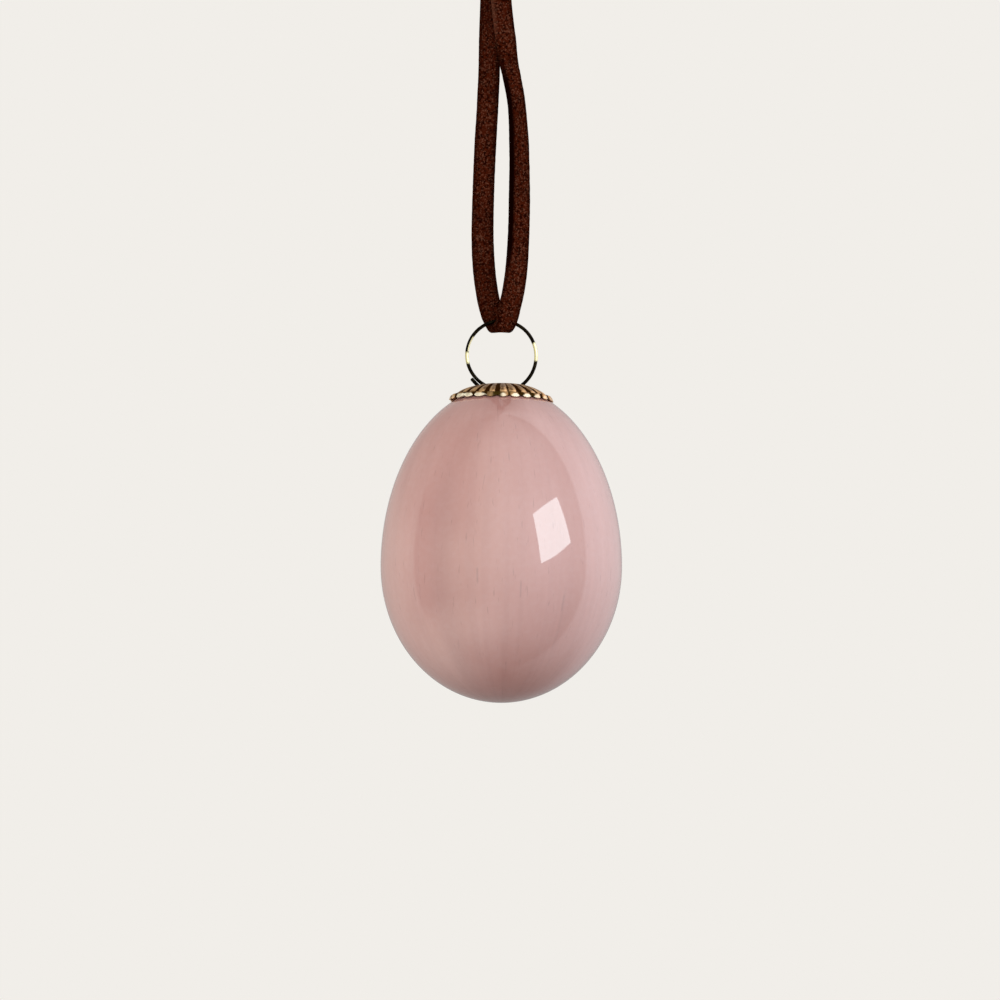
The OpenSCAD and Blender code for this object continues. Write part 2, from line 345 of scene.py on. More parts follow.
def knot_strand(name, side, seed, lean):
    """One of the two strands of the knot and its loose end, which leans out by some degrees.
    side is 1 for the strand whose end leans left, and -1 for the other."""
    rows = [Vector(p).to_tuple() + Vector(w).normalized().to_tuple() for p, w in KNOT_ROWS]
    rows = [rows[0]] + rows + [rows[-1]]
    fine = []
    for i in range(1, len(rows) - 2):
        for k in range(KNOT_CUTS):
            fine.append([catmull_rom(*column, k / KNOT_CUTS) for column in zip(*rows[i - 1:i + 3])])
    middles, wides = [Vector(f[:3]) for f in fine], [Vector(f[3:]) for f in fine]
    dirs = tangents(middles)
    path, widths = [], []
    for k, (p, w, t) in enumerate(zip(middles, wides, dirs)):
        share = k / len(middles)
        w = (w - w.dot(t) * t).normalized()
        aside = -STRAND_ASIDE * (1 - smoothstep(share, 0.0, 0.12))
        apart = STRAND_APART + STRAND_SPREAD * smoothstep(share, 0.94, 1.0)
        path.append(p + side * (apart * t.cross(w) + aside * w))
        widths.append(w)
    # The loose end, which bends softly into its lean
    lean = math.radians(lean)
    away = Vector((-side * math.sin(lean), 0.10 * side, math.cos(lean)))
    tip, last = path[-1], dirs[-1]
    for k in range(1, TAIL_STEPS + 1):
        s = k * TAIL_STEP
        bend = smoothstep(s, 0, 5)
        ahead = (last * (1 - bend) + away * bend).normalized()
        curl = Vector((0.0, 0.05 * math.sin(s * 0.5 + side), 0))
        tip = tip + (ahead + curl).normalized() * TAIL_STEP
        path.append(tip)
        widths.append(Vector((1, 0.25 * side * smoothstep(s, 2, 10), 0)))
    sizes = [(0.97 + 0.03 * noise.noise(Vector((seed, k * 0.06, 0))),
              1.0 + 0.06 * noise.noise(Vector((k * 0.05, seed, 4)))) for k in range(len(path))]
    return sweep_lace(name, path, widths, sizes, [0.0] * len(path), KNOT_NAP, seed=seed,
                      slant=TAIL_SLANT * side)


knot_ends = [knot_strand("knot_strand_left", 1, 11.0, 19),
             knot_strand("knot_strand_right", -1, 23.0, 24)]

# The lacquer on the egg: its thickness, a little less than the solid's so that it stays off the
# glass, and its rows above and below the widest line and round it
LACQUER_T = 0.09
EGG_ROWS_TOP, EGG_ROWS_BOTTOM, EGG_COLUMNS = 60, 48, 144


def egg_profile(inset):
    """Rows of radius and height, from the mouth down to just above the bottom."""
    r = EGG_R - inset
    top = math.acos(MOUTH_R / r)
    rows = []
    for k in range(EGG_ROWS_TOP):
        a = top * (1 - k / EGG_ROWS_TOP)
        rows.append((r * math.cos(a), WIDE_Z + (EGG_TOP_H - inset) * math.sin(a)))
    for k in range(EGG_ROWS_BOTTOM):
        a = math.pi / 2 * k / EGG_ROWS_BOTTOM
        rows.append((r * math.cos(a), WIDE_Z - (EGG_BOTTOM_H - inset) * math.sin(a)))
    return rows


def egg_film(name):
    """The lacquer as a thin closed film of revolution, open at the mouth under the cap."""
    verts, faces = [], []
    for inset in (0, LACQUER_T):
        for r, z in egg_profile(inset):
            for c in range(EGG_COLUMNS):
                a = 2 * math.pi * c / EGG_COLUMNS
                verts.append((r * math.cos(a), r * math.sin(a), z))
    inner = len(verts) // 2
    last = inner - EGG_COLUMNS
    for row in range(0, last, EGG_COLUMNS):
        below = row + EGG_COLUMNS
        faces += band(row, below, EGG_COLUMNS)
        faces += band(inner + below, inner + row, EGG_COLUMNS)
    faces += band(0, inner, EGG_COLUMNS)
    for start, inset in ((last, 0), (inner + last, LACQUER_T)):
        faces += fan(len(verts), start, EGG_COLUMNS)
        verts.append((0, 0, WIDE_Z - EGG_BOTTOM_H + inset))
    obj = new_piece(name, verts, faces)
    outward(obj)
    return obj


egg = egg_film("egg_lacquer")

# The look of the cap, in millimetres: its lip, the sag of its shoulder and the waist above the
# lip. The brim rises a little to the left, by a slope.
LIP, SAG, WAIST = 0.38, 0.28, 0.12
BRIM_LEAN = 0.04
# The flutes are turned a little, and stand closer in front than behind
FLUTE_SHIFT, FLUTE_CROWD = math.radians(2.0), math.radians(8.5)
# Share of a flute's depth that moves the rim, for its scallops
RIM_SHARE = 0.65
# Columns of each flute, rows of the shoulder, and the rings of its flat middle
PER_FLUTE, CAP_ROWS, MIDDLE_RINGS = 20, 44, (3.1, 2.4, 1.7, 1.0, 0.4)
# Search for the rim: the steepest angle on the shoulder, in degrees, and the number of halvings
STEEPEST, HALVINGS = 88, 30


def egg_top_z(r):
    """Height of the egg's outside at a radius."""
    return WIDE_Z + EGG_TOP_H * math.sqrt(max(0, 1 - (r / EGG_R) ** 2))


def shoulder(t, inset):
    """Radius and height of the shoulder's ellipse at an angle, moved in square to it."""
    nr, nz = SHOULDER_H * math.sin(t), SHOULDER_W * math.cos(t)
    size = math.hypot(nr, nz)
    return (CROWN_R + SHOULDER_W * math.sin(t) - inset * nr / size,
            CROWN_Z - SHOULDER_H * (1 - math.cos(t)) - inset * nz / size)


def rim_angle(inset):
    """Angle at which the inner side of the sheet comes down to the egg."""
    low, high = 0.0, math.radians(STEEPEST)
    for _ in range(HALVINGS):
        mid = (low + high) / 2
        r, z = shoulder(mid, inset * math.sin(mid) + CAP_SHEET)
        if z > egg_top_z(r) + SEAT_GAP:
            low = mid
        else:
            high = mid
    return low


def flute_angle(a):
    """Where a flute of an even row stands on the stamped cap, from the front round to +X."""
    return a + FLUTE_SHIFT - FLUTE_CROWD * math.sin(a)


def cap_point(a, t, row, flute, depth):
    """A point of the shoulder, by its turn a, its angle t on the ellipse, its share of the way to
    the rim, the depth of the flute there and its own depth in the sheet."""
    ridge = 1 - flute / FLUTE_DEPTH
    lip = LIP * (0.5 + 0.5 * math.sqrt(ridge)) * smoothstep(row, 0.79, 0.87)
    lip *= 1 - 0.75 * smoothstep(row, 0.84, 1.04)
    waist = WAIST * ridge * math.exp(-((row - 0.78) / 0.06) ** 2)
    sunk = waist + SAG * math.sin(math.pi * row)
    groove = flute * math.sin(t) * (1 - 0.5 * smoothstep(row, 0.78, 0.9))
    r, z = shoulder(t, groove + depth - lip + sunk)
    x = r * math.cos(a)
    return x, r * math.sin(a), z - BRIM_LEAN * min(x, 0) * smoothstep(r, 4.2, 8.5)


def fluted_cap(name):
    """The stamped sheet: a flat middle, a fluted shoulder and a scalloped lip."""
    columns = FLUTES * PER_FLUTE
    turns = [flute_angle(2 * math.pi * c / columns) - math.pi / 2 for c in range(columns)]
    flutes = [FLUTE_DEPTH * (1 - abs(math.cos(math.pi * c / PER_FLUTE))) for c in range(columns)]
    rims = [rim_angle(RIM_SHARE * flute) for flute in flutes[:PER_FLUTE]]
    verts, faces = [], []
    for depth in (0, CAP_SHEET):
        for row in range(CAP_ROWS + 1):
            for c in range(columns):
                t = rims[c % PER_FLUTE] * row / CAP_ROWS
                verts.append(cap_point(turns[c], t, row / CAP_ROWS, flutes[c], depth))
    inner, last = (CAP_ROWS + 1) * columns, CAP_ROWS * columns
    for row in range(0, last, columns):
        faces += band(row, row + columns, columns)
        faces += band(inner + row, inner + row + columns, columns)
    faces += band(last, inner + last, columns)
    # The flat middle, as rings in to a centre point on each side of the sheet
    for depth, previous in ((0, 0), (CAP_SHEET, inner)):
        for r in MIDDLE_RINGS:
            ring = len(verts)
            verts += [(r * math.cos(a), r * math.sin(a), CROWN_Z - depth) for a in turns]
            faces += band(previous, ring, columns)
            previous = ring
        faces += fan(len(verts), previous, columns)
        verts.append((0, 0, CROWN_Z - depth))
    obj = new_piece(name, verts, faces)
    outward(obj)
    return obj


def cut_box(obj, low, high):
    """Takes a box out of a piece."""
    verts = [(x, y, z) for x in (low[0], high[0]) for y in (low[1], high[1]) for z in (low[2], high[2])]
    faces = [(0, 1, 3, 2), (4, 6, 7, 5), (0, 4, 5, 1), (2, 3, 7, 6), (0, 2, 6, 4), (1, 5, 7, 3)]
    cutter = new_piece("cutter", verts, faces, smooth=False)
    outward(cutter)
    mod = obj.modifiers.new("cut", "BOOLEAN")
    mod.operation, mod.solver, mod.object = "DIFFERENCE", "EXACT", cutter
    bpy.context.view_layer.update()
    evaluated = obj.evaluated_get(bpy.context.evaluated_depsgraph_get())
    mesh = bpy.data.meshes.new_from_object(evaluated)
    obj.modifiers.clear()
    obj.data = mesh
    bpy.data.objects.remove(cutter)


def cut_slots(obj, overrun=1):
    """Opens the crown's two slots, one on each side of its bridge."""
    for side in (-1, 1):
        left, right = sorted((side * BRIDGE_HALF, side * SLOT_END))
        cut_box(obj, (left, -SLOT_HALF, CROWN_Z - overrun), (right, SLOT_HALF, CROWN_Z + overrun))


cap = fluted_cap("fluted_cap")
cut_slots(cap)

# The ring: steps along each of its two arcs, sides of its wire, and in millimetres how far its
# lapped end bends back to the full turn and how long its rounded ends are. Their rows have the
# distance from the tip and the share of the wire's radius.
ARC_STEPS, WIRE_SIDES, LAP_BEND = 150, 20, 0.2
END_LENGTH, END_ROWS = 0.25, [(0.0, 0.55), (0.06, 0.8), (0.16, 0.95)]
# Directions from the ring's middle, in degrees round from +X
STRAIGHT_UP, STRAIGHT_DOWN = 90, 270


def ring_path():
    """The arc from the bottom to where the lap starts, and the wider arc on from there to the
    wire's tip."""
    start, leaves = math.radians(STRAIGHT_DOWN - FULL_TURN_SHORT), math.radians(STRAIGHT_UP - LAP_START)
    path = []
    for k in range(ARC_STEPS + 1):
        a = start + (leaves - start) * k / ARC_STEPS
        path.append(Vector((RING_R * math.cos(a), 0, RING_Z + RING_R * math.sin(a))))
    centre_x = -LAP_SHIFT * math.cos(leaves)
    centre_z = RING_Z - LAP_SHIFT * math.sin(leaves)
    tip = leaves - math.radians(LAP_TURN)
    for k in range(1, ARC_STEPS + 1):
        a = leaves + (tip - leaves) * k / ARC_STEPS
        r = RING_R + LAP_SHIFT - LAP_BEND * smoothstep(k / ARC_STEPS, 0.85, 1)
        path.append(Vector((centre_x + r * math.cos(a), 0, centre_z + r * math.sin(a))))
    return path


def ring_wire(name):
    path = ring_path()
    dirs = tangents(path)
    first = [(path[0] - dirs[0] * (END_LENGTH - off), dirs[0], s) for off, s in END_ROWS]
    last = [(path[-1] + dirs[-1] * (END_LENGTH - off), dirs[-1], s) for off, s in END_ROWS]
    rings = first + [(p, t, 1.0) for p, t in zip(path, dirs)] + last[::-1]
    side = Vector((0, 1, 0))
    verts = []
    for p, t, size in rings:
        up = t.cross(side)
        for k in range(WIRE_SIDES):
            a = 2 * math.pi * k / WIRE_SIDES
            verts.append(p + WIRE_R * size * (math.cos(a) * side + math.sin(a) * up))
    obj = new_piece(name, verts, tube_faces(len(rings), WIRE_SIDES))
    outward(obj)
    return obj


ring = ring_wire("ring_wire")


class Graph:
    """A node tree, with short calls that add nodes and give back an output. A value is a number,
    a vector, a colour of three numbers or another node's output."""

    def __init__(self, tree):
        self.nodes, self.links = tree.nodes, tree.links

    def put(self, socket, value):
        """Sets an input, or links an output to it."""
        if isinstance(value, bpy.types.NodeSocket):
            self.links.new(value, socket)
        elif isinstance(value, (int, float)):
            socket.default_value = value
        else:
            alpha = (1.0,) * (len(socket.default_value) - len(value))
            socket.default_value = tuple(value) + alpha

    def node(self, kind, *values, **settings):
        """Adds a node with its settings, and fills its inputs in order, but none with None."""
        node = self.nodes.new(kind)
        for key, value in settings.items():
            setattr(node, key, value)
        for socket, value in zip(node.inputs, values):
            if value is not None:
                self.put(socket, value)
        return node

    def fill(self, node, inputs):
        """Fills inputs of a node by name."""
        for name, value in inputs.items():
            self.put(node.inputs[name], value)
        return node

    def math(self, operation, *values, clamp=False):
        return self.node("ShaderNodeMath", *values, operation=operation, use_clamp=clamp).outputs[0]

    def times(self, product, *values):
        """The product of all the values."""
        for value in values:
            product = self.math("MULTIPLY", product, value)
        return product

    def vector(self, operation, *values):
        outputs = self.node("ShaderNodeVectorMath", *values, operation=operation).outputs
        return outputs["Value" if operation in ("DOT_PRODUCT", "LENGTH") else "Vector"]

    def ramp(self, value, low, high, to_low=0.0, to_high=1.0, soft=True):
        """to_low as far as low and to_high from high on, with a soft or straight change."""
        return self.node("ShaderNodeMapRange", value, low, high, to_low, to_high, clamp=True,
                         interpolation_type="SMOOTHSTEP" if soft else "LINEAR").outputs["Result"]

    def mix(self, factor, a, b):
        """The colour a where the factor is 0, and b where it is 1."""
        node = self.node("ShaderNodeMix", factor, data_type="RGBA", blend_type="MIX")
        self.put(node.inputs[6], a)
        self.put(node.inputs[7], b)
        return node.outputs[2]

    def levels(self, value, rows):
        """Reads a table of (place, level) rows, with places rising from 0 to 1."""
        node = self.node("ShaderNodeValToRGB", value)
        stops = node.color_ramp.elements
        stops.remove(stops[1])
        for k, (place, level) in enumerate(rows):
            stop = stops[0] if k == 0 else stops.new(place)
            stop.position, stop.color = place, (level, level, level, 1)
        return node.outputs["Color"]

    def around(self, angle, *tables):
        """The levels at an azimuth, by tables of (degrees, level) rows."""
        turn = self.math("MULTIPLY_ADD", angle, 0.5 / math.pi, 0.5)
        return [self.levels(turn, [(0.5 + a / 360, level) for a, level in rows]) for rows in tables]

    def upward(self, height, *tables):
        """The levels at a height from -1 to 1, by tables of (height, level) rows."""
        place = self.math("MULTIPLY_ADD", height, 0.5, 0.5)
        return [self.levels(place, [(0.5 + h / 2, level) for h, level in rows]) for rows in tables]

    def noise(self, where, scale, detail=2.0, roughness=0.5):
        return self.fill(self.node("ShaderNodeTexNoise"), {
            "Vector": where, "Scale": scale, "Detail": detail, "Roughness": roughness}).outputs["Fac"]

    def bump(self, shader, height, strength, depth):
        """Bumps a surface by a height, to a depth in millimetres."""
        node = self.fill(self.node("ShaderNodeBump"), {
            "Strength": strength, "Distance": depth * MM, "Height": height})
        self.put(shader.inputs["Normal"], node.outputs["Normal"])

    def where(self):
        """The place on the object, in metres."""
        return self.node("ShaderNodeTexCoord").outputs["Object"]

    def split(self, vector):
        """The x, y and z of a vector."""
        return self.node("ShaderNodeSeparateXYZ", vector).outputs

    def azimuth(self, x, y):
        """The angle from straight towards the camera, round to +X, in radians."""
        return self.math("ARCTAN2", x, self.math("MULTIPLY", y, -1))

    def radius(self, where):
        """The distance from the upright axis."""
        return self.vector("LENGTH", self.vector("MULTIPLY", where, (1, 1, 0)))

    def rays(self):
        """Whether a ray is glossy, and whether the camera looks along it, through glass or not."""
        path = self.node("ShaderNodeLightPath").outputs
        return path["Is Glossy Ray"], self.math("MAXIMUM", path["Is Camera Ray"],
                                                path["Is Transmission Ray"])


def new_material(name):
    mat = bpy.data.materials.new(name)
    mat.use_nodes = True
    graph = Graph(mat.node_tree)
    return mat, graph, graph.nodes["Principled BSDF"]


# Darker streaks down the lacquer, the broad first one on the left a painted darker reflection, that is
# painted shade:
# azimuth and half width in degrees, height from the widest line and reach in millimetres, and depth
DARK_STREAKS_AND_SHADE = [(-29, 12, -3, 24, 0.17), (32, 1.5, -11, 7, 0.14), (-11.2, 0.8, -3.1, 1.7, 0.4),
                (9.2, 0.7, -5.6, 1.8, 0.35), (31.5, 0.8, -7.9, 1.8, 0.3)]


def lacquer_material():
    """Rose lacquer in broad bands and sweeps, with fine dark strokes, a few darker streaks, one of
    them a broad painted darker reflection, and pale specks, under a clear gloss."""
    rose, pale_rose, dusk = (0.578, 0.290, 0.252), (0.618, 0.318, 0.280), (0.45, 0.215, 0.20)
    streak_and_shade_rose, stroke_rose, speck = (0.31, 0.165, 0.158), (0.36, 0.17, 0.155), (0.66, 0.44, 0.41)
    mat, g, shader = new_material("rose_lacquer_gloss")
    where = g.where()
    x, y, z = g.split(where)
    angle = g.azimuth(x, y)
    round_it = g.vector("NORMALIZE", g.vector("MULTIPLY", where, (1, 1, 0)))

    def drawn_noise(sideways, upward, scale, detail, roughness):
        """Noise that is stretched along the egg, by its scales round it and up it."""
        at = g.vector("ADD", g.vector("MULTIPLY", round_it, (sideways, sideways, 0)),
                      g.vector("MULTIPLY", where, (0, 0, upward)))
        return g.noise(at, scale, detail, roughness)

    bands = drawn_noise(1, 12, 3.2, 3, 0.55)
    sweeps = drawn_noise(11, 16, 1.0, 2, 0.5)
    strokes = drawn_noise(22, 150, 2.2, 2, 0.6)
    specks = g.noise(where, 900, 2, 0.5)
    colour = g.mix(g.ramp(bands, 0.3, 0.7), rose, pale_rose)
    colour = g.mix(g.ramp(sweeps, 0.36, 0.52, 0.11, 0), colour, dusk)
    # Each streak darkens the lacquer; the broad first one is painted shade, a darker reflection painted
    # on
    for turn, half_width, height, reach, depth in DARK_STREAKS_AND_SHADE:
        aside = g.math("ABSOLUTE", g.math("SUBTRACT", angle, math.radians(turn)))
        above = g.math("ABSOLUTE", g.math("SUBTRACT", z, (WIDE_Z + height) * MM))
        streak_and_shade = g.times(g.ramp(aside, 0, math.radians(half_width), depth, 0),
                      g.ramp(above, 0.6 * reach * MM, reach * MM, 1, 0))
        colour = g.mix(streak_and_shade, colour, streak_and_shade_rose)
    colour = g.mix(g.times(g.ramp(strokes, 0.63, 0.76), 0.42), colour, stroke_rose)
    colour = g.mix(g.ramp(specks, 0.35, 0.75, 0, 0.10), colour, speck)
    g.fill(shader, {"Base Color": colour, "Roughness": 0.45, "Specular IOR Level": 0.1,
                    "Coat Weight": 1.0, "Coat Roughness": 0.02, "Coat IOR": 2.0})
    g.bump(shader, g.noise(where, 110, 1, 0.4), 0.25, 0.02)
    return mat


def suede_material(name, deep, mid, light):
    """Matt nap in three browns. A piece's "rim" value paints shade on it above 0 and a highlight below.
    """
    mat, g, shader = new_material(name)
    where = g.where()
    grain = g.noise(where, 1700, 2, 0.6)
    nap = g.noise(where, 3000, 2, 0.6)
    patch = g.noise(where, 170, 2, 0.5)
    colour = g.mix(g.ramp(grain, 0.38, 0.58), deep, mid)
    colour = g.mix(g.ramp(nap, 0.50, 0.68, 0, 0.75), colour, light)
    colour = g.mix(g.ramp(patch, 0.35, 0.7, 0.0, 0.3), colour, deep)
    rim = g.node("ShaderNodeAttribute", attribute_name="rim").outputs["Fac"]
    # Painted shade where the rim value is above 0, and a painted highlight where it is below 0
    colour = g.mix(g.ramp(rim, 0, 1, soft=False), colour, tuple(0.35 * c for c in deep))
    colour = g.mix(g.ramp(rim, 0, -1, soft=False), colour, light)
    g.fill(shader, {"Base Color": colour, "Roughness": 0.95, "Specular IOR Level": 0.0,
                    "Sheen Weight": 0.01, "Sheen Roughness": 0.5, "Sheen Tint": (0.6, 0.32, 0.22)})
    g.bump(shader, g.math("ADD", grain, g.times(nap, 0.5)), 0.9, 0.12)
    return mat


# By azimuth from the front round to +X, in degrees: how bright the painted highlight on the cap's lip
# is, shown as bright worn brass, how far that painted highlight runs on into the grooves, and how far
# the patina has left a groove, above 0.5, or has spread on it, below 0.5
LIP_HIGHLIGHT = [(-180, 0.5), (-100, 0.5), (-70, 0.3), (-58, 0.75), (-48, 0.95), (-19, 1), (-16, 0),
            (-1, 0.05), (1, 0.8), (3.5, 0.8), (5.5, 0.1), (8.5, 0.1), (10, 0.8), (12, 1), (36, 1),
            (41, 0.6), (52, 0.5), (58, 0.25), (75, 0.2), (110, 0.5), (180, 0.5)]
GROOVE_HIGHLIGHT = [(-180, 0), (-62, 0), (-54, 0.35), (-37, 0.35), (-33, 0), (-30, 0.25), (-19, 0.25),
               (-16, 0), (180, 0)]
PATINA = [(-180, 0.5), (-50, 0.5), (-45, 0.36), (-38, 0.52), (-31, 0.38), (-25, 0.52),
          (-18.5, 0.3), (-12, 0.55), (-5.5, 0.25), (-0.5, 0.5), (4, 0.6), (9, 0.95), (14, 0.6),
          (17, 0.5), (22.5, 0.36), (30, 0.52), (38, 0.36), (45, 0.5), (180, 0.5)]
# A darker patch near the cap's front: its azimuth and its reach, in radians
FRONT_PATCH, FRONT_REACH = -0.10, 0.24


def flute_ridges(g, angle):
    """1 on the ridges of the flutes and 0 in their grooves. The loop undoes flute_angle."""
    even = angle
    for _ in range(3):
        even = g.math("MULTIPLY_ADD", g.math("SINE", even), FLUTE_CROWD,
                      g.math("SUBTRACT", angle, FLUTE_SHIFT))
    return g.math("ABSOLUTE", g.math("COSINE", g.times(even, FLUTES / 2)))


def cap_material():
    """Stamped brass: dark patina in the grooves and in patches, tan ridges, and a painted highlight on
    the lip, shown as bright worn brass.
    """
    tan, brown, dark = (0.92, 0.57, 0.27), (0.38, 0.197, 0.074), (0.034, 0.0085, 0.0006)
    olive, highlight_cream = (0.058, 0.036, 0.006), (1.0, 0.91, 0.68)
    mat, g, shader = new_material("antique_brass_lip_highlight")
    where = g.where()
    x, y, _ = g.split(where)
    angle, radius = g.azimuth(x, y), g.radius(where)
    ridge = flute_ridges(g, angle)
    lip_highlight_level, highlight_spill, bared = g.around(angle, LIP_HIGHLIGHT, GROOVE_HIGHLIGHT, PATINA)
    blotch = g.noise(where, 700, 4, 0.6)
    off = g.times(g.math("SUBTRACT", angle, FRONT_PATCH), 1 / FRONT_REACH)
    patch = g.math("MAXIMUM", g.times(g.ramp(g.noise(where, 150, 2, 0.5), 0.42, 0.62), 0.6),
                   g.math("EXPONENT", g.times(off, off, -1)))
    # The dark grooves, which start a little way out from the flat middle
    edge = g.math("MULTIPLY_ADD", g.math("SUBTRACT", blotch, 0.5), 0.9, ridge)
    edge = g.math("MULTIPLY_ADD", patch, -0.12, edge)
    edge = g.math("ADD", edge, g.math("SUBTRACT", bared, 0.5))
    groove = g.times(g.ramp(edge, 0.40, 0.74, 1, 0), g.ramp(radius, 3 * MM, 5 * MM))
    colour = g.mix(g.ramp(g.noise(where, 430, 3, 0.55), 0.36, 0.64), tan, brown)
    colour = g.mix(groove, colour, dark)
    # The olive tint of the patches, deepest at the lip
    tint = g.times(patch, g.ramp(radius, 8.2 * MM, 9.2 * MM, 0.15, 0.9), g.ramp(blotch, 0.26, 0.44))
    colour = g.mix(tint, colour, olive)
    # The painted highlight on the lip, shown as bright worn brass, which reaches further in where it
    # spills into a groove
    reach = g.math("MULTIPLY_ADD", highlight_spill, 1.1 * MM, 0.05 * MM)
    reach = g.math("ADD", g.times(reach, g.math("SUBTRACT", 1, ridge)), radius)
    worn_highlight = g.times(g.ramp(reach, 9.49 * MM, 9.60 * MM),
                   g.ramp(g.math("ADD", ridge, highlight_spill), 0.08, 0.24),
                   g.ramp(blotch, 0.3, 0.5, 0.8, 1), lip_highlight_level)
    colour = g.mix(worn_highlight, colour, highlight_cream)
    # Less metal under the lip's painted highlight, so that its cream shows bright
    metallic = g.math("MULTIPLY_ADD", worn_highlight, -0.5, g.math("MULTIPLY_ADD", groove, -0.9, 1), clamp=True)
    roughness = g.math("MULTIPLY_ADD", blotch, 0.1, g.math("MULTIPLY_ADD", groove, 0.28, 0.27))
    g.fill(shader, {"Base Color": colour, "Metallic": metallic, "Roughness": roughness,
                    "Specular IOR Level": 0.0})
    g.bump(shader, blotch, 0.3, 0.03)
    return mat


# Where the wire shows bare brass, partly rubbed wear and partly painted highlights where the light
# catches it: the direction from the ring's middle and the reach each way, in degrees, and whether only
# its inner side is bare, which fades out between two radii
BARE_WIRE_HIGHLIGHTS = [(5.2, 15.5, False), (184.5, 10.5, False), (161, 14, True)]
INNER_FROM, INNER_TO = 6.26, 6.38


def wire_material():
    """Brass wire under a near-black patina, bare at both sides of the ring as rubbed wear and painted
    highlights.
    """
    black, dull, bare_brass_highlight = (0.003, 0.0022, 0.0015), (0.011, 0.008, 0.0035), (0.71, 0.65, 0.37)
    mat, g, shader = new_material("brass_wire_tarnished")
    where = g.where()
    patch = g.noise(where, 900, 3, 0.6)
    out = g.vector("MULTIPLY", g.vector("SUBTRACT", where, (0, 0, RING_Z * MM)), (1, 0, 1))
    inner = g.ramp(g.vector("LENGTH", out), INNER_FROM * MM, INNER_TO * MM, 1, 0)
    out = g.vector("NORMALIZE", out)
    worn_highlight = 0
    # Each bare stretch is partly rubbed wear and partly a painted highlight
    for turn, reach, inner_only in BARE_WIRE_HIGHLIGHTS:
        a = math.radians(turn)
        near = g.vector("DOT_PRODUCT", out, (math.cos(a), 0, math.sin(a)))
        near = g.math("MULTIPLY_ADD", g.math("SUBTRACT", patch, 0.5), 0.03, near)
        bare_highlight = g.ramp(near, math.cos(math.radians(reach + 2)), math.cos(math.radians(reach - 3)))
        worn_highlight = g.math("MAXIMUM", worn_highlight, g.times(bare_highlight, inner) if inner_only else bare_highlight)
    colour = g.mix(worn_highlight, g.mix(g.ramp(patch, 0.4, 0.7), black, dull), bare_brass_highlight)
    g.fill(shader, {"Base Color": colour, "Metallic": 1.0,
                    "Roughness": g.math("MULTIPLY_ADD", worn_highlight, -0.12, 0.38)})
    g.bump(shader, g.noise(where, 2500), 0.15, 0.01)
    return mat


def glass_material():
    """Clear blown glass, faintly rippled."""
    mat, g, shader = new_material("blown_glass_clear")
    ripple = g.noise(g.where(), 140)
    tint = g.mix(ripple, (0.86, 0.92, 0.9), (0.93, 0.96, 0.95))
    g.fill(shader, {"Base Color": tint, "Roughness": 0.03, "IOR": 1.5, "Transmission Weight": 1.0})
    g.bump(shader, ripple, 0.2, 0.02)
    return mat


def plaster_material():
    """Matt, gritty cement."""
    mat, g, shader = new_material("cement_plaster")
    grit = g.noise(g.where(), 2500, 4, 0.65)
    tint = g.mix(grit, (0.62, 0.57, 0.48), (0.82, 0.78, 0.70))
    g.fill(shader, {"Base Color": tint, "Roughness": 0.9})
    g.bump(shader, grit, 0.6, 0.1)
    return mat


def dress(obj, *mats):
    """Gives a piece its materials."""
    obj.data.materials.clear()
    for mat in mats:
        obj.data.materials.append(mat)


def dress_node(name, mat):
    """Gives a solid that stays in view its material."""
    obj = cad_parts[name]
    if not obj.material_slots:
        obj.data.materials.append(mat)
    for slot in obj.material_slots:
        slot.material = mat


suede = suede_material("brown_suede_nap", (0.014, 0.0012, 0.0002), (0.060, 0.0080, 0.0022),
                       (0.165, 0.060, 0.034))
# The cut edges: a darker brown, partly the cut fibre and partly painted shade
suede_cut_edge_shaded = suede_material("brown_suede_cut_edge_shaded", (0.003, 0.0006, 0.0003),
                            (0.010, 0.0022, 0.0012), (0.035, 0.011, 0.007))
for strip in [lace] + knot_ends:
    dress(strip, suede, suede_cut_edge_shaded)
dress(egg, lacquer_material())
dress(cap, cap_material())
dress(ring, wire_material())
dress_node("glass_shell", glass_material())
dress_node("cap_cement", plaster_material())

BACKGROUND = (0.8796, 0.855, 0.8148)
# Levels of the room that gloss shows, by azimuth and by the sine of the elevation
ROOM_ROUND = [(-180, 0.5), (-150, 0.67), (-120, 1.08), (-93, 1.08), (-88, 0.9), (-75, 0.9),
              (-60, 0.98), (-45, 1.25), (-15, 1.63), (0, 1.84), (35, 2.0), (60, 1.92),
              (74, 1.64), (86, 1.48), (90, 2.2), (110, 2.1), (135, 1.44), (165, 0.66), (180, 0.5)]
ROOM_UP = [(-1, 0.12), (-0.9, 0.28), (-0.8, 0.42), (-0.5, 0.6), (-0.2, 0.77), (0.1, 0.93),
           (0.4, 0.99), (0.6, 0.88), (0.87, 0.78), (1, 0.53)]
# How much darker a stretch of wall on the left is, by azimuth
WALL = [(-180, 0), (-93.5, 0), (-90, 0.42), (-76, 0.38), (-66, 0.22), (-56, 0), (180, 0)]
# The room's colour at the far left and the far right
ROOM_LEFT, ROOM_RIGHT = (0.875, 0.85, 0.76), (0.875, 0.85, 0.91)
# The window's corners by azimuth and elevation, its colour, and the softness of its edges
WINDOW_CORNERS = ((32, 22.5), (62, 28), (70, 10), (38, 0.7))
WINDOW_COLOUR, WINDOW_EDGE = (4.05, 4.6, 4.8), 0.006
# Level of the soft light that matt surfaces get, by the sine of the elevation
SOFT_UP = [(-1, 0.06), (-0.7, 0.1), (-0.57, 0.26), (-0.45, 0.66), (-0.3, 1.08), (-0.15, 1.38),
           (0.05, 1.49), (0.2, 1.38), (0.35, 1.07), (0.65, 0.28), (0.8, 0.3), (1, 0.55)]


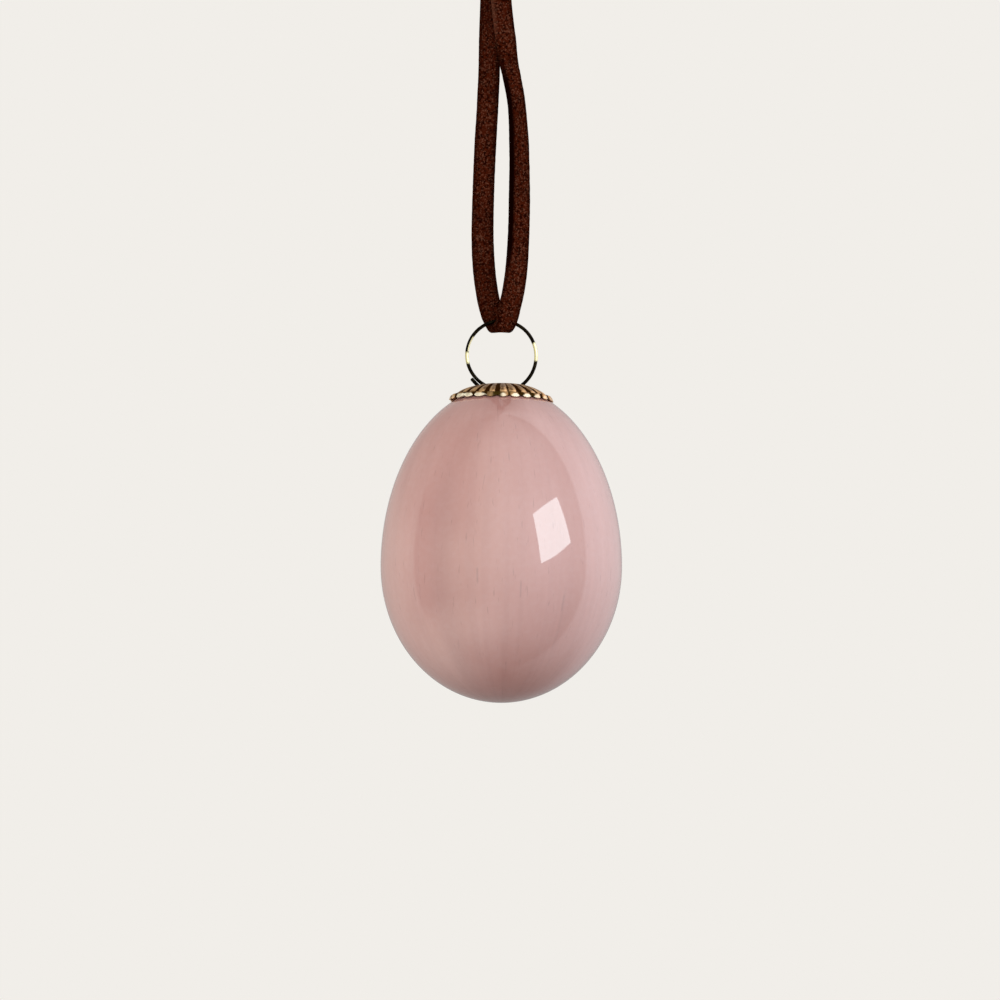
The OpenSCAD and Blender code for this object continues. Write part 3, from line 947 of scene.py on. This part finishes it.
def window(g, where):
    """1 inside the window, seen in the direction where, and 0 outside it."""
    corners = [direction(*corner) for corner in WINDOW_CORNERS]
    centre = sum(corners, Vector()).normalized()
    inside = 1
    for a, b in zip(corners, corners[1:] + corners[:1]):
        side = a.cross(b).normalized()
        side = side if side.dot(centre) > 0 else -side
        beyond = g.vector("DOT_PRODUCT", where, side)
        inside = g.times(inside, g.ramp(beyond, -WINDOW_EDGE, WINDOW_EDGE))
    return inside


def room_colour(g, where, x, y, z):
    """The pale room that gloss shows, brightest in front and to the right, with its window."""
    by_turn, wall = g.around(g.azimuth(x, y), ROOM_ROUND, WALL)
    by_height, = g.upward(z, ROOM_UP)
    level = g.times(by_turn, by_height)
    # Brighter low on the left, and dimmer high on the left
    low_left = g.times(g.math("MINIMUM", x, 0), g.math("MINIMUM", z, 0))
    high_left = g.times(g.ramp(x, -0.6, -0.2, -0.36, 0), g.ramp(z, 0.12, 0.38))
    level = g.times(level, g.math("ADD", g.math("MULTIPLY_ADD", low_left, 0.5, 1), high_left))
    # The darker stretch of wall, at the height of the egg
    wall = g.times(wall, g.ramp(z, -0.55, -0.3), g.ramp(z, 0.3, 0.62, -1, 0))
    level = g.times(level, g.math("ADD", wall, 1))
    # A darker floor behind the egg and to its right
    behind = g.times(g.math("MAXIMUM", y, 0), g.ramp(z, -0.85, -0.4, -0.8, 0),
                     g.ramp(x, -0.15, 0.3))
    level = g.times(level, g.math("ADD", behind, 1))
    # A brighter floor in front and to the left
    near = g.math("ADD", g.vector("DOT_PRODUCT", where, (-0.75, -0.35, 0)), 0.1)
    level = g.math("MULTIPLY_ADD", g.ramp(z, -0.8, -0.3, 1, 0), g.math("MAXIMUM", near, 0), level)
    tone = g.mix(g.ramp(x, -1, 1), ROOM_LEFT, ROOM_RIGHT)
    room = g.vector("SCALE", tone, None, None, level)
    return g.mix(window(g, where), room, WINDOW_COLOUR)


def soft_level(g, x, z):
    """The soft light on matt surfaces, from all round, weaker from above and below."""
    level, = g.upward(z, SOFT_UP)
    from_left = g.times(g.math("MINIMUM", x, 0), g.ramp(z, -0.7, 0.3, -0.6, 0))
    from_below = g.times(x, g.ramp(z, -1, -0.5, -0.5, 0))
    return g.times(level, g.math("ADD", g.math("ADD", from_left, from_below), 1))


def build_world():
    """A studio that gloss, matt surfaces and the camera each see in their own way."""
    world = bpy.data.worlds.new("studio")
    bpy.context.scene.world = world
    world.use_nodes = True
    g = Graph(world.node_tree)
    g.nodes.clear()
    where = g.node("ShaderNodeTexCoord").outputs["Generated"]
    x, y, z = g.split(where)
    glossy, seen = g.rays()
    soft = g.node("ShaderNodeBackground", (1, 1, 1), soft_level(g, x, z))
    room = g.node("ShaderNodeBackground", room_colour(g, where, x, y, z))
    plain = g.node("ShaderNodeBackground", BACKGROUND)
    lit = g.node("ShaderNodeMixShader", glossy, soft.outputs[0], room.outputs[0])
    shown = g.node("ShaderNodeMixShader", seen, lit.outputs[0], plain.outputs[0])
    g.node("ShaderNodeOutputWorld", shown.outputs[0])


build_world()

# What the lamp shines at, in metres
LAMP_TARGET = Vector((0, 0, -0.11))


def add_lamp(name, azimuth, rise, distance, size, watts):
    """A soft round lamp that neither gloss nor the camera sees."""
    data = bpy.data.lights.new(name, "AREA")
    data.shape, data.size, data.energy = "DISK", size, watts
    lamp = bpy.data.objects.new(name, data)
    aim_at(lamp, LAMP_TARGET, azimuth, rise, distance)
    lamp.visible_glossy = False
    lamp.visible_camera = False


add_lamp("top_lamp", 25, 62, 0.9, 0.5, 0.6)

# The floor, in millimetres, with its rings and columns, its colour and the strength of its glow
FLOOR_Z, FLOOR_R, FLOOR_RINGS, FLOOR_COLUMNS = -340, 1600, 24, 96
FLOOR_COLOUR, FLOOR_GLOW = (0.85, 0.83, 0.80), 0.40


def floor_material():
    """Pale and lit where the camera sees it, clear towards its edge and to all other rays."""
    mat, g, shader = new_material("floor_pale")
    g.nodes.remove(shader)
    _, seen = g.rays()
    far = g.ramp(g.radius(g.where()), 0.25 * FLOOR_R * MM, 0.97 * FLOOR_R * MM)
    see_through = g.math("MAXIMUM", far, g.math("SUBTRACT", 1, seen))
    matt = g.node("ShaderNodeBsdfDiffuse", FLOOR_COLOUR)
    glow = g.node("ShaderNodeEmission", BACKGROUND, FLOOR_GLOW)
    lit = g.node("ShaderNodeAddShader", matt.outputs[0], glow.outputs[0])
    clear = g.node("ShaderNodeBsdfTransparent")
    mixed = g.node("ShaderNodeMixShader", see_through, lit.outputs[0], clear.outputs[0])
    g.put(g.nodes["Material Output"].inputs["Surface"], mixed.outputs[0])
    return mat


def build_floor():
    verts, faces = [(0, 0, FLOOR_Z)], fan(0, 1, FLOOR_COLUMNS)
    for row in range(1, FLOOR_RINGS + 1):
        r = FLOOR_R * row / FLOOR_RINGS
        for c in range(FLOOR_COLUMNS):
            a = 2 * math.pi * c / FLOOR_COLUMNS
            verts.append((r * math.cos(a), r * math.sin(a), FLOOR_Z))
    for start in range(1, 1 + (FLOOR_RINGS - 1) * FLOOR_COLUMNS, FLOOR_COLUMNS):
        faces += band(start, start + FLOOR_COLUMNS, FLOOR_COLUMNS)
    floor = new_piece("floor", verts, faces, smooth=False)
    dress(floor, floor_material())


build_floor()

# What rides on what
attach(lace, "lace")
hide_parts("suede_lace")
for piece in knot_ends:
    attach(piece, "lace")
    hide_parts("lace_knot")
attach(egg, "egg")
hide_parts("rose_lacquer")
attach(cap, "egg")
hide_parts("crown_cap")
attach(ring, "ring")
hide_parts("hanging_ring")
[tuple(p * MM) for p in lace_path]

bpy.context.scene.view_settings.view_transform = "Standard"
